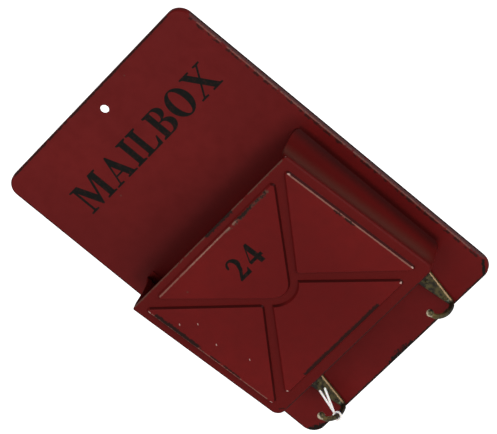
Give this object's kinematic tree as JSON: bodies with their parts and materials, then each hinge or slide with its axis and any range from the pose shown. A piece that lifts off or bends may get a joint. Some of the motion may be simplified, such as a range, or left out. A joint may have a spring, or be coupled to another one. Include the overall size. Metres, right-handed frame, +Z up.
{
  "type": "wall mailbox with key hooks",
  "caption": "Wall-hung sheet-steel letter holder: rimmed back plate with a hanging hole, an open-topped pocket embossed as an envelope, and cast brass key hooks below.",
  "frame": {"origin": "centre of the hanging hole, on the back face of the plate's sheet", "axes": "+X to the viewer's right, +Z up, -Y away from the wall towards the viewer"},
  "size_m": [0.218, 0.0535, 0.312],
  "materials": {
    "painted_steel": "worn satin burgundy",
    "painted_rivets": "satin burgundy",
    "aged_brass": "greenish patina, rubbed bright on the edges",
    "brass_rivets": "greenish patina",
    "white_nylon": "matt white"
  },
  "bodies": {
    "root": {"back_plate": "painted_steel", "envelope_pocket": "painted_steel", "pocket_rivets": "painted_rivets", "key_hook_left": "aged_brass", "key_hook_right": "aged_brass", "hook_rivets": "brass_rivets", "tag_tie": "white_nylon"}
  },
  "joints": []
}
